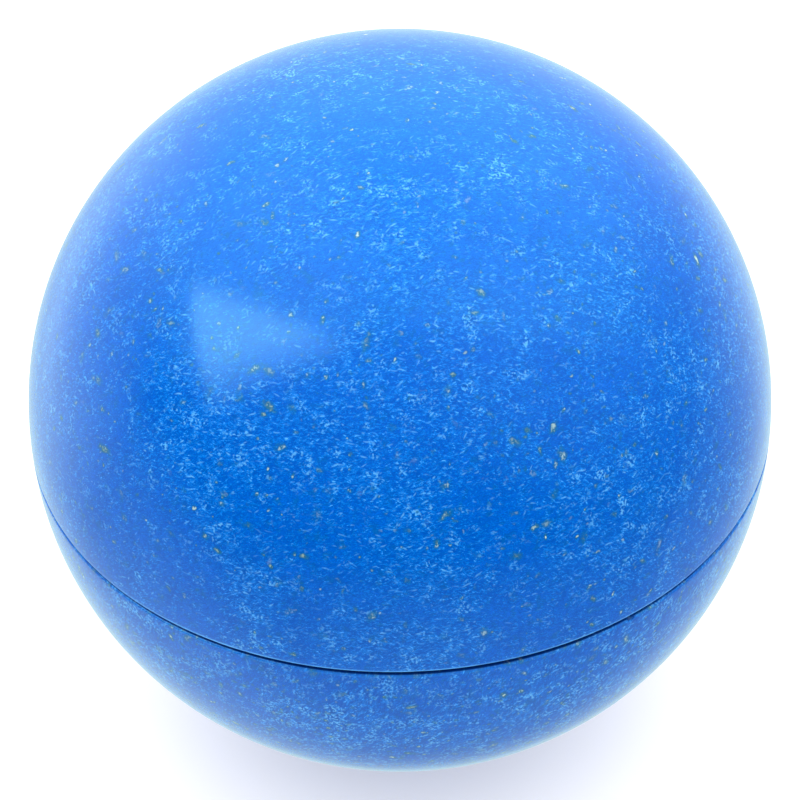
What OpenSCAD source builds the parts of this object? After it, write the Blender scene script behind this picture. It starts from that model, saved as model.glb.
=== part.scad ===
// Croquet ball of two moulded half shells over a solid core.
// The shells meet at the equator on a tongue-and-groove joint, which is bonded for good.
// Millimetres. The origin is the ball's centre, and +Z is normal to the joint plane,
// towards the upper shell.

/* [Ball] */
// Outside diameter of the ball, 3 5/8 inch
ball_d = 92.08; // [91.28:0.01:92.88]
// Thickness of each shell's wall
wall = 6.5; // [5.5:0.1:9]

/* [Parting line] */
// Width of the open line between the two outer rims
line_w = 0.36; // [0.2:0.02:0.8]
// Radius on the outer edge of each rim
rim_r = 0.3; // [0.15:0.05:0.6]
// Depth of the open line, from the outside to the bonded groove
land_w = 2.1; // [1.6:0.1:2.6]

/* [Joint] */
// Thickness of the lower shell's tongue
tongue_w = 1.7; // [1.2:0.1:2]
// Height of the tongue above the joint plane
tongue_h = 3.4; // [2:0.1:5]
// Thickness of adhesive on each side of the tongue
bond_gap = 0.3; // [0.15:0.05:0.4]
// Thickness of adhesive over the tongue's end
bond_top = 0.8; // [0.4:0.1:1.5]
// Chamfer on the tongue's two end corners
lead_in = 0.4; // [0.2:0.05:0.5]

/* [Core keys] */
// Number of ribs that key each shell to the core
rib_count = 6; // [3:1:8]
// Thickness of a rib
rib_t = 2.4; // [1.6:0.1:4]
// Height of a rib, from the shell's inside into the core
rib_h = 2.2; // [1:0.1:4]
// Angle above the joint plane where a rib starts
rib_low = 16; // [12:1:30]
// Angle above the joint plane where a rib ends
rib_high = 64; // [50:1:75]

/* [Hidden] */
$fn = 240;
ball_r = ball_d / 2;
core_r = ball_r - wall;
groove_out = ball_r - land_w;
groove_in = groove_out - tongue_w - 2 * bond_gap;
groove_h = tongue_h + bond_top;
// The rim's rounding rolls inside the ball's surface and rests on the rim's face.
rim_z = line_w / 2 + rim_r;
rim_x = sqrt(pow(ball_r - rim_r, 2) - pow(rim_z, 2));
// Where that rounding touches the ball's surface
rim_touch = ball_r / (ball_r - rim_r);
// How far a rib's foot reaches into the wall, so that the two join as one solid
rib_root = 1;

// Half of a meridian section: the wall above the joint plane, with its rounded outer
// edge. The inner face of the rim lies on the plane, and the outer face stands back.
module wall_section() {
    difference() {
        intersection() {
            circle(r = ball_r);
            square(2 * ball_r);
        }
        circle(r = core_r);
        translate([groove_out, 0])
            square([ball_r, line_w / 2]);
        difference() {
            polygon([
                [rim_x, 0],
                [ball_r + rim_r, 0],
                [rim_x * rim_touch, rim_z * rim_touch],
                [rim_x, rim_z]
            ]);
            translate([rim_x, rim_z])
                circle(r = rim_r);
        }
    }
}

// Section of the groove in the upper rim, open at the joint plane.
module groove_section() {
    translate([groove_in, -line_w / 2])
        square([groove_out - groove_in, groove_h + line_w / 2]);
}

// Section of the tongue, from the foot given to its chamfered end.
module tongue_section(foot) {
    left = groove_in + bond_gap;
    right = left + tongue_w;
    polygon([
        [left, -foot],
        [right, -foot],
        [right, tongue_h - lead_in],
        [right - lead_in, tongue_h],
        [left + lead_in, tongue_h],
        [left, tongue_h - lead_in]
    ]);
}

// Ribs on the inside of a shell above the joint plane, evenly spaced round the Z axis,
// half a step clear of the X axis. A rib is a flat plate, and its section is a band
// between two angles.
module ribs(outer_r) {
    inner_r = core_r - rib_h;
    reach = 2 * ball_r;
    for (i = [0 : rib_count - 1])
        rotate([0, 0, (i + 0.5) * 360 / rib_count])
            rotate([90, 0, 0])
                linear_extrude(height = rib_t, center = true)
                    intersection() {
                        difference() {
                            circle(r = outer_r);
                            circle(r = inner_r);
                        }
                        polygon([
                            [0, 0],
                            [reach * cos(rib_low), reach * sin(rib_low)],
                            [reach * cos(rib_high), reach * sin(rib_high)]
                        ]);
                    }
}

// Both shells' ribs, as the core's moulded slots take them.
module all_ribs(outer_r) {
    ribs(outer_r);
    mirror([0, 0, 1])
        ribs(outer_r);
}

// Upper half shell: wall, groove and ribs.
module upper_shell() {
    color("dodgerblue")
        union() {
            rotate_extrude()
                difference() {
                    wall_section();
                    groove_section();
                }
            ribs(core_r + rib_root);
        }
}

// Lower half shell: wall, tongue and ribs.
module lower_shell() {
    color("royalblue")
        union() {
            rotate_extrude()
                union() {
                    mirror([0, 1])
                        wall_section();
                    tongue_section(line_w);
                }
            mirror([0, 0, 1])
                ribs(core_r + rib_root);
        }
}

// Solid core of pressed cork and rubber, with a slot for every rib.
module core() {
    color("peru")
        difference() {
            sphere(r = core_r);
            all_ribs(core_r + rib_root);
        }
}

// Cured adhesive: it fills the groove round the tongue, down to the joint plane.
module joint_adhesive() {
    color("ivory")
        rotate_extrude()
            difference() {
                translate([groove_in, 0])
                    square([groove_out - groove_in, groove_h]);
                tongue_section(line_w);
            }
}

upper_shell();
lower_shell();
core();
joint_adhesive();
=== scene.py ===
"""Croquet ball: two moulded half shells of blue fibre-flecked plastic, bonded over a solid core."""

import math

import bmesh
import bpy
from mathutils import Matrix, Vector, noise


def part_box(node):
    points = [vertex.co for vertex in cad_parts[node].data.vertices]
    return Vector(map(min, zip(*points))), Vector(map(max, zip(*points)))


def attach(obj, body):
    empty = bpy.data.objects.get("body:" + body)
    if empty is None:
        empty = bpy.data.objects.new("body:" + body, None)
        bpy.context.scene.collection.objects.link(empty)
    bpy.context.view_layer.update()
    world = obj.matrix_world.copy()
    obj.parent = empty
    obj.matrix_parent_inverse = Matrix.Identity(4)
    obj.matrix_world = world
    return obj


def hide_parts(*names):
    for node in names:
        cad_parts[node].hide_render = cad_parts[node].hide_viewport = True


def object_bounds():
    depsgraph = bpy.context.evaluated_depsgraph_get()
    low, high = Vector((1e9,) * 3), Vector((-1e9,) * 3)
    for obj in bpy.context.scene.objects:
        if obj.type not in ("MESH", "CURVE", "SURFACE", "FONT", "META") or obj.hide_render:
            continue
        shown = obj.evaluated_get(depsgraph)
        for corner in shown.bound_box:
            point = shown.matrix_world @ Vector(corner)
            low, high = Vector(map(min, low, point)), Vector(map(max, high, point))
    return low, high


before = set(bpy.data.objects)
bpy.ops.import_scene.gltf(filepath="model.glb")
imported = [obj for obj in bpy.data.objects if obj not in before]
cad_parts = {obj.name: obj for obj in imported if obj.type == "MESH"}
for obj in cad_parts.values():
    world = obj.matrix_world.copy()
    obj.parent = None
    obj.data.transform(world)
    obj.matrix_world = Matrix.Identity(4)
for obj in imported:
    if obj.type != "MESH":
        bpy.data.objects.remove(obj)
cad_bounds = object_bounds()

# ---------------------------------------------------------------- sizes from the frame
MM = 0.001
BALL_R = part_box("upper_shell")[1][2]
CORE_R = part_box("core")[1][2]
GROOVE_OUT, _, GROOVE_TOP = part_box("joint_adhesive")[1]
TONGUE_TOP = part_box("lower_shell")[1][2]
# The joint's own sizes, as the CAD has them.
LINE_W = 0.36 * MM
RIM_R = 0.3 * MM
TONGUE_W = 1.7 * MM
BOND_GAP = 0.3 * MM
LEAD_IN = 0.4 * MM
RIB_COUNT = 6
RIB_T = 2.4 * MM
RIB_H = 2.2 * MM
RIB_ROOT = 1.0 * MM
RIB_LOW = math.radians(16)
RIB_HIGH = math.radians(64)
GROOVE_IN = GROOVE_OUT - TONGUE_W - 2 * BOND_GAP

# ---------------------------------------------------------------- mesh resolution
AROUND = 384
OUTER_STEPS = 128
INNER_STEPS = 36
RIM_STEPS = 6
RIB_STEPS = 16
SHARP_ANGLE = math.radians(38)
# The moulded skin is not a perfect sphere: it waves by about a hundredth of a millimetre.
WAVE_H = 0.012 * MM
WAVE_LENGTH = 13 * MM
# The two rims are a little warped, so the open line is widest in front and behind.
LINE_CHANGE = 0.15 * MM
LINE_WIDEST = math.radians(-74)
WARP_REACH = 6 * MM
# Nicks in the rims: azimuth, half width and half depth.
UPPER_NICKS = [(math.radians(-84.5), 0.45 * MM, 0.22 * MM)]
LOWER_NICKS = [(math.radians(-56), 0.55 * MM, 0.45 * MM)]


def arc(centre, radius, start, end, steps):
    """Points (r, z) on an arc in the meridian plane, both ends included."""
    angles = [start + (end - start) * i / steps for i in range(steps + 1)]
    return [
        (centre[0] + radius * math.cos(a), centre[1] + radius * math.sin(a))
        for a in angles
    ]


def outer_profile():
    """The outside of a half shell, from its pole down to the inner end of the rim's open face."""
    rim_z = LINE_W / 2 + RIM_R
    rim_x = math.sqrt((BALL_R - RIM_R) ** 2 - rim_z**2)
    touch = math.atan2(rim_z, rim_x)
    skin = arc((0, 0), BALL_R, math.pi / 2, touch, OUTER_STEPS)
    edge = arc((rim_x, rim_z), RIM_R, touch, -math.pi / 2, RIM_STEPS)
    return skin + edge[1:] + [(GROOVE_OUT, LINE_W / 2)]


def inner_profile():
    """The inside of a half shell, from the joint plane up to its pole."""
    return arc((0, 0), CORE_R, 0, math.pi / 2, INNER_STEPS)


def upper_profile():
    groove = [
        (GROOVE_OUT, GROOVE_TOP),
        (GROOVE_IN, GROOVE_TOP),
        (GROOVE_IN, 0),
    ]
    return outer_profile() + groove + inner_profile()


def lower_profile():
    """As for the upper shell, with a tongue in place of the groove. The heights are turned
    over, so they count down from the joint plane."""
    left = GROOVE_IN + BOND_GAP
    right = left + TONGUE_W
    tongue = [
        (GROOVE_OUT, 0),
        (right, 0),
        (right, -TONGUE_TOP + LEAD_IN),
        (right - LEAD_IN, -TONGUE_TOP),
        (left + LEAD_IN, -TONGUE_TOP),
        (left, -TONGUE_TOP + LEAD_IN),
        (left, 0),
    ]
    return outer_profile() + tongue + inner_profile()


def skin_sink(point):
    """How far the moulded skin lies inside the true sphere at this point."""
    here = point.normalized() * (BALL_R / WAVE_LENGTH)
    wave = noise.noise(here) + 0.35 * noise.noise(here * 2.6)
    return WAVE_H * (1 + wave) / 2


def line_shift(azimuth, height):
    """How much wider the warp makes the open line here, which fades out above the rim."""
    near_rim = max(0.0, 1 - abs(height) / WARP_REACH)
    return LINE_CHANGE * near_rim**2 * math.cos(2 * (azimuth - LINE_WIDEST))


def revolve(name, profile, up):
    """A closed solid turned about Z from a profile that starts and ends on the axis."""
    bm = bmesh.new()
    rings = []
    for i, (r, z) in enumerate(profile):
        on_axis = i in (0, len(profile) - 1)
        outside = math.hypot(r, z) > BALL_R - RIM_R - LINE_W
        ring = []
        for k in range(1 if on_axis else AROUND):
            azimuth = 2 * math.pi * k / AROUND
            radius = 0 if on_axis else r
            point = Vector((radius * math.cos(azimuth), radius * math.sin(azimuth), z * up))
            if outside:
                point -= point.normalized() * skin_sink(point)
                point.z += line_shift(azimuth, z) * up / 2
            ring.append(bm.verts.new(point))
        rings.append(ring)
    for a, b in zip(rings, rings[1:]):
        for k in range(AROUND):
            n = (k + 1) % AROUND
            corners = [a[k % len(a)], b[k % len(b)], b[n % len(b)], a[n % len(a)]]
            face = list(dict.fromkeys(corners))
            bm.faces.new(face if up > 0 else face[::-1])
    mesh = bpy.data.meshes.new(name)
    bm.to_mesh(mesh)
    bm.free()
    return new_object(name, mesh)


def new_object(name, mesh):
    obj = bpy.data.objects.new(name, mesh)
    bpy.context.scene.collection.objects.link(obj)
    return obj


def rib_plates(up):
    """The flat ribs inside a half shell, as one mesh of separate plates."""
    bm = bmesh.new()
    for i in range(RIB_COUNT):
        turn = Matrix.Rotation((i + 0.5) * 2 * math.pi / RIB_COUNT, 3, "Z")
        outline = arc((0, 0), CORE_R + RIB_ROOT, RIB_LOW, RIB_HIGH, RIB_STEPS)
        outline += arc((0, 0), CORE_R - RIB_H, RIB_HIGH, RIB_LOW, RIB_STEPS)
        sides = []
        for y in (-RIB_T / 2, RIB_T / 2):
            sides.append([bm.verts.new(turn @ Vector((r, y, z * up))) for r, z in outline])
        bm.faces.new(sides[0])
        bm.faces.new(sides[1][::-1])
        count = len(outline)
        for k in range(count):
            n = (k + 1) % count
            bm.faces.new([sides[0][k], sides[1][k], sides[1][n], sides[0][n]])
    bmesh.ops.recalc_face_normals(bm, faces=bm.faces)
    mesh = bpy.data.meshes.new("ribs")
    bm.to_mesh(mesh)
    bm.free()
    return new_object("ribs", mesh)


def chip_tool(azimuth, width, depth, up):
    """A small rough lump, which leaves a nick where it cuts a rim."""
    bm = bmesh.new()
    bmesh.ops.create_icosphere(bm, subdivisions=3, radius=1)
    edge = Vector((math.cos(azimuth), math.sin(azimuth), 0)) * BALL_R
    edge.z = up * LINE_W / 2
    for v in bm.verts:
        rough = 1 + 0.35 * noise.noise(v.co * 2.3)
        v.co = Vector((v.co.x * width, v.co.y * width, v.co.z * depth)) * rough + edge
    mesh = bpy.data.meshes.new("chip_tool")
    bm.to_mesh(mesh)
    bm.free()
    return new_object("chip_tool", mesh)


def combine(obj, tool, operation):
    """Applies a boolean to obj and removes the tool."""
    boolean = obj.modifiers.new("boolean", "BOOLEAN")
    boolean.operation = operation
    boolean.solver = "MANIFOLD"
    boolean.object = tool
    graph = bpy.context.evaluated_depsgraph_get()
    result = bpy.data.meshes.new_from_object(obj.evaluated_get(graph))
    obj.modifiers.clear()
    obj.data = result
    bpy.data.objects.remove(tool)


def smooth(obj):
    obj.data.shade_smooth()
    obj.data.set_sharp_from_angle(angle=SHARP_ANGLE)


def half_shell(name, node, profile, up, nicks):
    obj = revolve(name, profile, up)
    combine(obj, rib_plates(up), "UNION")
    for azimuth, width, depth in nicks:
        combine(obj, chip_tool(azimuth, width, depth, up), "DIFFERENCE")
    smooth(obj)
    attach(obj, "root")
    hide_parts(node)
    return obj


# ---------------------------------------------------------------- material nodes
class Nodes:
    """Short names for the shader nodes of a material or a world."""

    def __init__(self, owner, shader):
        self.owner = owner
        owner.use_nodes = True
        self.tree = owner.node_tree
        self.shader = self.tree.nodes[shader]

    def add(self, kind, inputs=(), **settings):
        node = self.tree.nodes.new(kind)
        for key, value in settings.items():
            setattr(node, key, value)
        for socket, value in dict(inputs).items():
            self.put(node.inputs[socket], value)
        return node

    def put(self, socket, value):
        if isinstance(value, bpy.types.NodeSocket):
            self.tree.links.new(value, socket)
        elif value is not None:
            socket.default_value = value

    def math(self, operation, a, b=None, c=None, clamp=False):
        node = self.add("ShaderNodeMath", {0: a}, operation=operation, use_clamp=clamp)
        if b is not None:
            self.put(node.inputs[1], b)
        if c is not None:
            self.put(node.inputs[2], c)
        return node.outputs[0]

    def vector(self, operation, a, b=None, scale=None):
        node = self.add("ShaderNodeVectorMath", {0: a}, operation=operation)
        if b is not None:
            self.put(node.inputs[1], b)
        if scale is not None:
            self.put(node.inputs["Scale"], scale)
        gives_value = operation in ("DOT_PRODUCT", "LENGTH", "DISTANCE")
        return node.outputs["Value" if gives_value else "Vector"]

    def combine(self, x, y, z):
        return self.add("ShaderNodeCombineXYZ", {0: x, 1: y, 2: z}).outputs[0]

    def split(self, vector):
        return self.add("ShaderNodeSeparateXYZ", {0: vector}).outputs

    def step(self, value, low, high, to_low=0.0, to_high=1.0):
        """A smooth step from to_low to to_high as value goes from low to high."""
        return self.add(
            "ShaderNodeMapRange",
            {"Value": value, 1: low, 2: high, 3: to_low, 4: to_high},
            interpolation_type="SMOOTHSTEP",
        ).outputs[0]

    def noise(self, vector, scale, detail=2.0, roughness=0.5):
        return self.add(
            "ShaderNodeTexNoise",
            {
                "Vector": vector,
                "Scale": scale,
                "Detail": detail,
                "Roughness": roughness,
            },
        ).outputs["Fac"]

    def cells(self, vector):
        return self.add("ShaderNodeTexVoronoi", {"Vector": vector, "Scale": 1.0}).outputs

    def mix(self, factor, a, b):
        node = self.add("ShaderNodeMix", data_type="RGBA")
        self.put(node.inputs["Factor"], factor)
        self.put(node.inputs[6], a)
        self.put(node.inputs[7], b)
        return node.outputs[2]


def new_material(name):
    return Nodes(bpy.data.materials.new(name), "Principled BSDF")


def rgb(r, g, b):
    return (r, g, b, 1.0)


class Flow:
    """The melt's flow over a shell: fibres lie along circles round one axis near the rim,
    and round another at the crown."""

    def __init__(self, n, rim_axis, crown_axis, offset):
        self.n = n
        self.rim_axis = Vector(rim_axis).normalized()
        self.crown_axis = Vector(crown_axis).normalized()
        self.offset = offset
        coordinates = n.add("ShaderNodeTexCoord").outputs["Object"]
        straight = n.vector("SCALE", coordinates, scale=1 / MM)
        self.straight = straight
        # Eddies in the melt, which curl the fibres.
        eddy = n.add("ShaderNodeTexNoise", {"Vector": straight, "Scale": 1.1, "Detail": 1.0})
        curl = n.vector("SUBTRACT", eddy.outputs["Color"], (0.5, 0.5, 0.5))
        self.place = n.vector("ADD", straight, n.vector("SCALE", curl, scale=CURL))
        self.crown = self.crown_at(n.vector("NORMALIZE", straight))

    def crown_at(self, out):
        """How far a direction is on the crown: 0 near the rim, 1 at the pole."""
        height = self.n.math("ABSOLUTE", self.n.split(out)[2])
        return self.n.step(height, CROWN_START, CROWN_FULL)

    def frame_at(self, point):
        """Outward, along-flow and across-flow directions at a point."""
        n = self.n
        out = n.vector("NORMALIZE", point)
        change = tuple(self.crown_axis - self.rim_axis)
        turned = n.vector("SCALE", change, scale=self.crown_at(out))
        axis = n.vector("ADD", turned, tuple(self.rim_axis))
        along = n.vector("NORMALIZE", n.vector("CROSS_PRODUCT", axis, out))
        return out, along, n.vector("CROSS_PRODUCT", out, along)

    def flecks(self, cell, length, width, slant, spread, seed, depth, rough=None):
        """Flecks in millimetres, one in each cell. Gives each place's distance from the middle
        of its fleck, where 1 is the fleck's edge, and three random values."""
        n = self.n
        shift = tuple(o + seed for o in self.offset)
        spot = n.vector("ADD", n.vector("SCALE", self.place, scale=1 / cell), shift)
        cells = n.cells(spot)
        middle = n.vector(
            "SCALE", n.vector("SUBTRACT", cells["Position"], shift), scale=cell
        )
        random = n.split(cells["Color"])
        out, along, across = self.frame_at(middle)
        turn = n.math("MULTIPLY_ADD", random[0], spread, slant - spread / 2)
        cos, sin = n.math("COSINE", turn), n.math("SINE", turn)
        away = n.vector("SUBTRACT", self.place, middle)
        u = n.vector("DOT_PRODUCT", away, along)
        v = n.vector("DOT_PRODUCT", away, across)
        w = n.vector("DOT_PRODUCT", away, out)
        lengthwise = n.math("ADD", n.math("MULTIPLY", u, cos), n.math("MULTIPLY", v, sin))
        crosswise = n.math("SUBTRACT", n.math("MULTIPLY", v, cos), n.math("MULTIPLY", u, sin))
        half_length = n.math("MULTIPLY_ADD", random[1], length * 0.35, length * 0.25)
        reach = n.combine(
            n.math("DIVIDE", lengthwise, half_length),
            n.math("DIVIDE", crosswise, width / 2),
            n.math("DIVIDE", w, depth),
        )
        distance = n.vector("LENGTH", reach)
        if rough is not None:
            distance = n.math("ADD", distance, rough)
        return distance, random

    def streaks(self, axis, length, width, seed):
        """Fine streaks, in millimetres, along circles round an axis."""
        n = self.n
        axis = Vector(axis).normalized()
        side = axis.orthogonal().normalized()
        other = axis.cross(side)
        out = n.vector("NORMALIZE", self.place)
        x = n.vector("DOT_PRODUCT", out, tuple(side))
        y = n.vector("DOT_PRODUCT", out, tuple(other))
        tilt = n.math("ARCSINE", n.vector("DOT_PRODUCT", out, tuple(axis)))
        radius = BALL_R / MM
        place = n.combine(
            n.math("MULTIPLY", x, radius / length),
            n.math("MULTIPLY", y, radius / length),
            n.math("MULTIPLY_ADD", tilt, radius / width, seed),
        )
        return n.noise(place, 1.0, detail=2.0, roughness=0.65)


# How far the eddies carry the fibres, in millimetres.
CURL = 0.32
# Heights, as a part of the radius, where the crown's flow starts and where it is full
CROWN_START = 0.60
CROWN_FULL = 0.92
# Colours of the plastic and what is in it, in linear light.
BLUE_SHADE = rgb(0.0001, 0.074, 0.40)
BLUE_DEEP = rgb(0.0001, 0.108, 0.57)
BLUE_CLEAR = rgb(0.0002, 0.136, 0.69)
STREAK_DIM = rgb(0.001, 0.195, 0.75)
STREAK_PALE = rgb(0.085, 0.43, 0.90)
# Painted highlight for the edge of the upper rim.
RIM_HIGHLIGHT = rgb(0.09, 0.42, 0.95)
FIBRE_DIM = rgb(0.004, 0.24, 0.78)
FIBRE_PALE = rgb(0.16, 0.56, 0.93)
CLUMP_PALE = rgb(0.13, 0.47, 0.85)
TEAL = rgb(0.002, 0.135, 0.40)
SHADE = rgb(0.0003, 0.055, 0.27)
HALO = rgb(0.004, 0.12, 0.31)
CHIP_TAN = rgb(0.27, 0.40, 0.36)
CHIP_CREAM = rgb(0.50, 0.70, 0.66)
CHIP_OLIVE = rgb(0.03, 0.14, 0.20)
SPARK = rgb(0.9, 0.93, 0.95)
# Painted shade for the inside of the open line.
GAP_SHADE = rgb(0.0004, 0.018, 0.15)


# What goes into each shell's plastic. order is how well the fibres follow the flow, chaff how
# many chips there are among them, strong how clear they are, and coarse their size.
UPPER_MIX = {
    "rim_axis": (-0.17, 0.3, 0.94),
    "crown_axis": (-0.25, 0.95, -0.18),
    "offset": (3.0, 9.0, 17.0),
    "order": 0.8,
    "chaff": 0.9,
    "strong": 1.15,
    "coarse": 1.0,
}
LOWER_MIX = {
    "rim_axis": (0.8, 0.0, -0.5),
    "crown_axis": (0.9, 0.3, 0.2),
    "offset": (71.0, 43.0, 5.0),
    "order": 0.5,
    "chaff": 1.9,
    "strong": 1.9,
    "coarse": 1.4,
}
# Depths below the skin, in millimetres, between which the painted shade in the open line starts and
# is full
GAP_SHADE_DEPTH = (0.09, 0.26)
# How strong the painted highlight is along the lower rim's edge and along the upper one
RIM_HIGHLIGHT_SHARE = (0.15, 0.85)
BUMP_H = 0.006 * MM
PLASTIC_IOR = 1.5


class Layers:
    """The plastic's colour and relief, built up from one layer of its contents after another, with
    a painted highlight and painted shade along the joint.
    """

    def __init__(self, n, flow, offset):
        self.n = n
        self.flow = flow
        self.place = flow.place
        self.colour = None
        self.height = 0.0
        # Zones of some 12 mm with more or less fibre, and clumps of some 2 mm within them.
        zone = self.noise_at(offset, 0.085, detail=3.0, roughness=0.55)
        self.crowded = n.step(zone, 0.38, 0.62)
        self.clump = self.noise_at((31.0, 7.0, 3.0), 0.55)
        self.speck = n.noise(self.place, 3.2)
        # The rims stand apart in front and behind; the painted highlight and painted shade at the
        # joint follow this.
        _, y, self.z = n.split(flow.straight)
        reach = BALL_R / MM
        self.apart = n.step(n.math("ABSOLUTE", y), 0.55 * reach, 0.95 * reach, 0.15, 1.0)

    def noise_at(self, shift, scale, **settings):
        return self.n.noise(self.n.vector("ADD", self.place, shift), scale, **settings)

    def cover(self, amount, colour):
        self.colour = self.n.mix(amount, self.colour, colour)

    def base(self):
        """Two blues in clouds, with teal patches."""
        n = self.n
        cloud = self.noise_at((5.0, 47.0, 13.0), 0.24, detail=3.0)
        fine = self.noise_at((17.0, 5.0, 29.0), 1.7, detail=3.0, roughness=0.6)
        tone = n.math("MULTIPLY_ADD", cloud, 0.5, n.math("MULTIPLY", fine, 0.5))
        self.colour = n.mix(n.step(tone, 0.40, 0.60), BLUE_DEEP, BLUE_CLEAR)
        teal = n.step(self.noise_at((3.7, 71.0, 9.0), 0.8, detail=3.0), 0.56, 0.68)
        self.cover(n.math("MULTIPLY", teal, 0.7), TEAL)

    def weaves(self, order, strong, coarse):
        """Fine streaks in four directions, pale on top and dark between."""
        n, flow = self.n, self.flow
        clumped = n.math("MULTIPLY", self.clump, 0.13)
        dense = n.math("MULTIPLY_ADD", self.crowded, 0.06, clumped)
        calm = n.math("MULTIPLY_ADD", flow.crown, -0.40, strong)
        between = flow.rim_axis + flow.crown_axis
        across = between.cross(Vector((0, -1, 0.9)))
        not_crown = n.math("SUBTRACT", 1.0, flow.crown)
        weaves = (
            # axis, length, width, seed, share
            (flow.rim_axis, 0.90, 0.25, 4.0, not_crown),
            (flow.crown_axis, 0.90, 0.27, 19.0, flow.crown),
            (between, 0.72, 0.24, 37.0, 1.0),
            (between + across * (1.3 - order), 0.55, 0.23, 53.0, 0.8),
        )
        for axis, length, width, seed, share in weaves:
            streak = flow.streaks(axis, length * coarse, width * coarse, seed)
            share = n.math("MULTIPLY", calm, share, clamp=True)
            dark = n.step(streak, 0.35, 0.45, 0.5, 0.0)
            self.cover(n.math("MULTIPLY", dark, share), BLUE_SHADE)
            # Each fibre has a thin dark edge.
            streak = n.math("ADD", streak, dense)
            edge = n.step(streak, 0.57, 0.63, 0.0, 0.5)
            dim = n.step(streak, 0.64, 0.72, 0.0, 0.8)
            pale = n.step(streak, 0.74, 0.86, 0.0, 0.9)
            self.cover(n.math("MULTIPLY", edge, share), BLUE_SHADE)
            self.cover(n.math("MULTIPLY", dim, share), STREAK_DIM)
            self.cover(n.math("MULTIPLY", pale, share), STREAK_PALE)
            self.height = n.math("MULTIPLY_ADD", dim, share, self.height)

    def fibres(self, order, coarse):
        """Single short fibres, the more aligned the better the order."""
        n = self.n
        loose = 1 - order
        layers = (
            # cell, length, width, slant, spread, seed, depth, strength
            (0.70, 0.95, 0.27, 0.10, 1.2 + 1.8 * loose, 0.0, 0.26, 0.55),
            (1.00, 1.50, 0.28, -0.05, 0.9 + 1.9 * loose, 23.9, 0.34, 0.55),
        )
        for cell, length, width, slant, spread, seed, depth, strength in layers:
            size, random = self.flow.flecks(
                cell * coarse, length * coarse, width * coarse, slant, spread, seed, depth
            )
            mask = n.step(size, 0.15, 1.05, 1.0, 0.0)
            bright = n.step(random[2], 0.25, 1.0)
            amount = n.math("MULTIPLY", n.math("MULTIPLY", mask, bright), strength)
            share = n.math("MULTIPLY_ADD", self.crowded, 0.5, 0.5)
            amount = n.math("MULTIPLY", amount, share)
            self.cover(amount, n.mix(n.step(random[2], 0.5, 1.0), FIBRE_DIM, FIBRE_PALE))
            self.height = n.math("ADD", self.height, amount)

    def heaps(self, strong):
        """Clumps of chaff: a crowd of pale and dark specks."""
        n = self.n
        heap = n.step(self.clump, 0.66 - 0.1 * strong, 0.80 - 0.1 * strong)
        heap = n.math("MULTIPLY", heap, n.math("MULTIPLY_ADD", self.crowded, 0.6, 0.4))
        pale = n.step(self.speck, 0.50, 0.64, 0.0, 0.75)
        self.cover(n.math("MULTIPLY", heap, pale), CLUMP_PALE)
        dark = n.step(self.speck, 0.34, 0.45, 0.6, 0.0)
        self.cover(n.math("MULTIPLY", heap, dark), SHADE)

    def chips(self, chaff):
        """Ragged tan chips of three sizes, in crowds, each in a dark halo."""
        n = self.n
        ragged = n.math("MULTIPLY_ADD", n.noise(self.place, 2.6), 1.6, -0.8)
        crowd = self.noise_at((41.0, 3.0, 61.0), 0.15, detail=3.0)
        crowd = n.step(crowd, 0.40, 0.62, 0.45, 1.0)
        sizes = (
            # cell, length, width, seed, share
            (2.9, 1.7, 0.85, 51.0, 0.42 * chaff),
            (1.9, 1.0, 0.6, 83.0, 0.42 * chaff),
            (1.3, 0.6, 0.36, 131.0, 0.26 * chaff),
        )
        for cell, length, width, seed, share in sizes:
            size, random = self.flow.flecks(cell, length, width, 0.15, 2.6, seed, 0.7, ragged)
            here = n.math("MULTIPLY", n.step(random[2], 1 - share, 1.0), crowd)
            self.cover(n.math("MULTIPLY", here, n.step(size, 0.9, 1.6, 0.7, 0.0)), HALO)
            chip = n.math("MULTIPLY", here, n.step(size, 0.5, 1.05, 0.9, 0.0))
            body = n.mix(n.step(random[0], 0.3, 0.7), CHIP_TAN, CHIP_CREAM)
            body = n.mix(n.step(size, 0.25, 0.95), body, CHIP_OLIVE)
            body = n.mix(n.step(self.speck, 0.44, 0.56), body, CHIP_OLIVE)
            self.cover(chip, body)
            self.height = n.math("ADD", self.height, chip)

    def painted_rim_highlight(self):
        """A painted highlight along the upper rim's edge, strongest where the rims stand apart, and
        hardly any along the lower one.
        """
        n = self.n
        from_joint = n.math("ABSOLUTE", self.z)
        highlight = n.step(self.z, -0.01, 0.01, *RIM_HIGHLIGHT_SHARE)
        patchy = n.step(n.noise(self.place, 0.35), 0.3, 0.6, 0.5, 1.0)
        low = n.step(from_joint, 0.20, 0.36)
        high = n.step(from_joint, 0.44, 0.72, 1.0, 0.0)
        for part in (self.apart, patchy, low, high):
            highlight = n.math("MULTIPLY", highlight, part)
        self.cover(highlight, RIM_HIGHLIGHT)

    def painted_gap_shade(self):
        """Painted shade in the open line, from the turn of each rim inwards."""
        n = self.n
        depth = n.math("SUBTRACT", BALL_R / MM, n.vector("LENGTH", self.flow.straight))
        share = n.math("MULTIPLY_ADD", self.apart, 0.7, 0.15)
        self.cover(n.math("MULTIPLY", n.step(depth, *GAP_SHADE_DEPTH), share), GAP_SHADE)

    def sparks(self):
        """A few near-white flakes."""
        n = self.n
        size, random = self.flow.flecks(7.0, 0.8, 0.35, 0.0, 3.1, 97.0, 0.5)
        flake = n.step(size, 0.8, 1.0, 1.0, 0.0)
        self.cover(n.math("MULTIPLY", flake, n.step(random[2], 0.90, 0.91)), SPARK)


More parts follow.
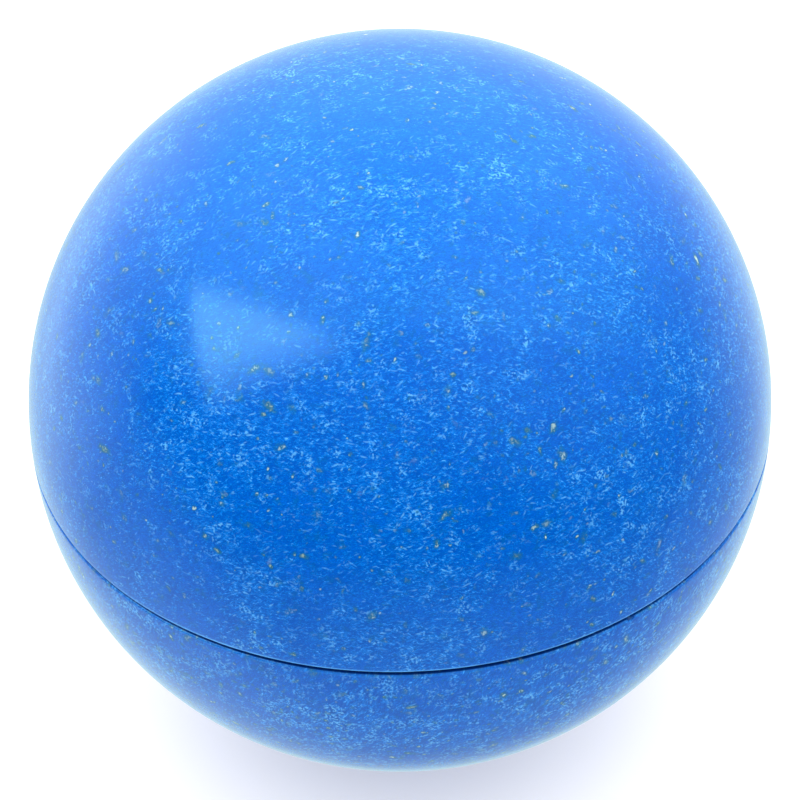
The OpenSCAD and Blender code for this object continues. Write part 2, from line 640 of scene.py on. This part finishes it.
def flecked_plastic(name, rim_axis, crown_axis, offset, order, chaff, strong, coarse):
    """Blue plastic full of short plant fibres and chips."""
    n = new_material(name)
    layers = Layers(n, Flow(n, rim_axis, crown_axis, offset), offset)
    layers.base()
    layers.weaves(order, strong, coarse)
    layers.fibres(order, coarse)
    layers.heaps(strong)
    layers.chips(chaff)
    # Painted highlight along the rims' edges.
    layers.painted_rim_highlight()
    # Painted shade in the open line.
    layers.painted_gap_shade()
    layers.sparks()

    grain = n.noise(layers.place, 5.0)
    relief = n.math("MULTIPLY_ADD", grain, 0.5, layers.height)
    bump = n.add(
        "ShaderNodeBump", {"Strength": 0.35, "Distance": BUMP_H, "Height": relief}
    )
    n.put(n.shader.inputs["Base Color"], layers.colour)
    n.put(n.shader.inputs["Roughness"], n.math("MULTIPLY_ADD", grain, 0.05, 0.10))
    n.put(n.shader.inputs["Normal"], bump.outputs[0])
    n.shader.inputs["IOR"].default_value = PLASTIC_IOR
    return n.owner


def cork_rubber():
    """Pressed cork granules in dark rubber."""
    n = new_material("cork_rubber")
    place = n.vector("SCALE", n.add("ShaderNodeTexCoord").outputs["Object"], scale=1 / MM)
    granule = n.cells(n.vector("SCALE", place, scale=1 / 2.4))
    small = n.cells(n.vector("SCALE", place, scale=1 / 0.9))
    tone = n.split(granule["Color"])[0]
    cork = n.mix(tone, rgb(0.36, 0.20, 0.09), rgb(0.55, 0.36, 0.18))
    cork = n.mix(n.noise(place, 3.0, detail=4.0), cork, rgb(0.20, 0.10, 0.045))
    rubber = n.math("GREATER_THAN", n.split(small["Color"])[1], 0.68)
    colour = n.mix(rubber, cork, rgb(0.018, 0.016, 0.015))
    gap = n.step(granule["Distance"], 0.42, 0.75)
    colour = n.mix(n.math("MULTIPLY", gap, 0.7), colour, rgb(0.03, 0.022, 0.018))
    height = n.math("SUBTRACT", n.noise(place, 4.0, detail=3.0), gap)
    bump = n.add(
        "ShaderNodeBump", {"Strength": 0.6, "Distance": 0.15 * MM, "Height": height}
    )
    n.put(n.shader.inputs["Base Color"], colour)
    n.put(n.shader.inputs["Roughness"], n.math("MULTIPLY_ADD", gap, 0.1, 0.72))
    n.put(n.shader.inputs["Normal"], bump.outputs[0])
    return n.owner


def adhesive():
    """Cured adhesive, slightly amber, with small bubbles."""
    n = new_material("adhesive")
    place = n.vector("SCALE", n.add("ShaderNodeTexCoord").outputs["Object"], scale=1 / MM)
    cloud = n.noise(place, 0.6, detail=3.0)
    colour = n.mix(cloud, rgb(0.60, 0.48, 0.27), rgb(0.72, 0.62, 0.42))
    bubble = n.step(n.cells(n.vector("SCALE", place, scale=1.4))["Distance"], 0.1, 0.22, 1.0, 0.0)
    colour = n.mix(bubble, colour, rgb(0.85, 0.78, 0.6))
    bump = n.add(
        "ShaderNodeBump", {"Strength": 0.5, "Distance": 0.05 * MM, "Height": bubble}
    )
    n.put(n.shader.inputs["Base Color"], colour)
    n.put(n.shader.inputs["Roughness"], n.math("MULTIPLY_ADD", cloud, 0.2, 0.35))
    n.put(n.shader.inputs["Normal"], bump.outputs[0])
    return n.owner


def paint(obj, material):
    obj.data.materials.clear()
    obj.data.materials.append(material)


# ---------------------------------------------------------------- studio
FLOOR_R = 0.40
FLOOR_BACK = 0.10
FLOOR_SEGMENTS = 96
FLOOR_GREY = 0.62
FLOOR_LIFT = 0.40
# Soft light that falls on things, from each direction: the cosine from it at which the
# light starts, the cosine at which it is full, and how bright it is there.
SOFT_LIGHT = (
    ((0, 0.5, 0.87), 0.0, 1.0, 1.3),
    ((0, 0, 1), 0.0, 1.0, 1.95),
)
# The room that the gloss shows, in the same terms. It is dark on the camera's side.
ROOM_TINT = (0.76, 1.0, 0.95)
ROOM = (
    ((0, 1, 0), 0.0, 1.0, 1.15),  # wall behind the ball
    ((-0.86, 0.5, 0), 0.78, 0.95, 0.56),  # wall on the left
    ((0.7, -0.1, 0.6), 0.5, 1.0, 0.42),  # corner of the ceiling on the right
    ((-0.8, 0.1, -0.6), 0.6, 1.0, 0.64),  # table on the left
    ((0.75, 0.35, -0.55), 0.75, 0.98, 0.38),  # table on the right
    ((0, -0.2, -1), 0.3, 1.0, 0.56),  # table under the ball
)
# The ceiling starts at a straight edge, and so does each side of a window: each edge is
# the plane through the ball's centre with this normal, which points to the bright side.
CEILING_TINT = (0.2, 1.0, 1.0)
CEILING_EDGE = (0, 0.89, 0.46)
CEILING_GLOW = 0.9
CEILING_LEFT = ((-0.6, 0.0, 0.8), 0.75, 1.0, 0.6)
WINDOW_TINT = (0.42, 1.0, 1.0)
WINDOW_SIDE = (0.48, -0.27, 0.84)
WINDOW_SILL = (-0.2, 0.84, 0.5)
WINDOW_TOP = (-0.45, -0.68, -0.57)
WINDOW_GLOW = (2.2, 4.6)  # at the sill and near the top
WHITE = 1.05
CAMERA_ELEVATION = math.radians(41.8)
CAMERA_DISTANCE = 6.96 * BALL_R
CAMERA_ROLL = math.radians(-1.5)
SENSOR_MM = 36
LENS_MM = 115.2


def aim(obj, target, roll=0.0):
    """Turns obj so that its -Z points at target and its +Y is up, then rolls it."""
    away = obj.location - Vector(target)
    turn = away.to_track_quat("Z", "Y").to_matrix()
    obj.rotation_euler = (turn @ Matrix.Rotation(roll, 3, "Z")).to_euler()


def studio_world():
    """A pale room: white to the camera, with its own glow for light and for gloss."""
    world = bpy.data.worlds.new("studio")
    bpy.context.scene.world = world
    n = Nodes(world, "Background")
    direction = n.add("ShaderNodeTexCoord").outputs["Generated"]

    def facing(axis):
        return n.vector("DOT_PRODUCT", direction, tuple(Vector(axis).normalized()))

    def glow(axis, start, full, strength):
        return n.step(facing(axis), start, full, 0.0, strength)

    def total(first, glows):
        for one in glows:
            first = n.math("ADD", first, glow(*one))
        return first

    ceiling = glow(CEILING_EDGE, -0.01, 0.02, CEILING_GLOW)
    ceiling = n.math("MULTIPLY", ceiling, glow((0, 0, 1), 0.1, 0.75, 1.0))
    window = n.step(facing(WINDOW_SILL), 0.03, 0.2, *WINDOW_GLOW)
    edges = ((WINDOW_SIDE, 0.0, 0.03), (WINDOW_SILL, 0.0, 0.03), (WINDOW_TOP, -0.08, 0.05))
    for axis, start, full in edges:
        window = n.math("MULTIPLY", window, glow(axis, start, full, 1.0))
    gloss = n.vector("SCALE", ROOM_TINT, scale=total(glow(*CEILING_LEFT), ROOM))
    for tint, strength in ((CEILING_TINT, ceiling), (WINDOW_TINT, window)):
        gloss = n.vector("ADD", gloss, n.vector("SCALE", tint, scale=strength))

    path = n.add("ShaderNodeLightPath").outputs
    light = n.vector("SCALE", (1.0, 1.0, 1.0), scale=total(0.0, SOFT_LIGHT))
    light = n.mix(path["Is Glossy Ray"], light, gloss)
    light = n.mix(path["Is Camera Ray"], light, rgb(WHITE, WHITE, WHITE))
    n.put(n.shader.inputs["Color"], light)


def floor():
    """A pale round table top, as one flat disc."""
    bm = bmesh.new()
    bmesh.ops.create_circle(bm, cap_ends=True, segments=FLOOR_SEGMENTS, radius=FLOOR_R)
    mesh = bpy.data.meshes.new("floor")
    bm.to_mesh(mesh)
    bm.free()
    obj = new_object("floor", mesh)
    obj.location = (0, FLOOR_BACK, cad_bounds[0][2])
    obj.visible_glossy = False
    n = new_material("floor")
    n.shader.inputs["Base Color"].default_value = rgb(FLOOR_GREY, FLOOR_GREY, FLOOR_GREY)
    n.shader.inputs["Emission Color"].default_value = rgb(1, 1, 1)
    n.shader.inputs["Emission Strength"].default_value = FLOOR_LIFT
    n.shader.inputs["Roughness"].default_value = 0.9
    n.shader.inputs["Specular IOR Level"].default_value = 0.0
    paint(obj, n.owner)


def camera():
    """A long lens looking down at the ball."""
    data = bpy.data.cameras.new("camera")
    data.sensor_width = SENSOR_MM
    data.lens = LENS_MM
    data.clip_start = 0.01
    obj = bpy.data.objects.new("camera", data)
    bpy.context.scene.collection.objects.link(obj)
    back = math.cos(CAMERA_ELEVATION)
    up = math.sin(CAMERA_ELEVATION)
    obj.location = (0, -CAMERA_DISTANCE * back, CAMERA_DISTANCE * up)
    aim(obj, (0, 0, 0), roll=CAMERA_ROLL)
    bpy.context.scene.camera = obj


# ---------------------------------------------------------------- the ball
upper = half_shell("upper_half_shell", "upper_shell", upper_profile(), 1, UPPER_NICKS)
lower = half_shell("lower_half_shell", "lower_shell", lower_profile(), -1, LOWER_NICKS)

paint(upper, flecked_plastic("flecked_plastic_upper", **UPPER_MIX))
paint(lower, flecked_plastic("flecked_plastic_lower", **LOWER_MIX))
paint(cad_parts["core"], cork_rubber())
paint(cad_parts["joint_adhesive"], adhesive())

floor()
studio_world()
camera()
bpy.context.scene.view_settings.view_transform = "Standard"
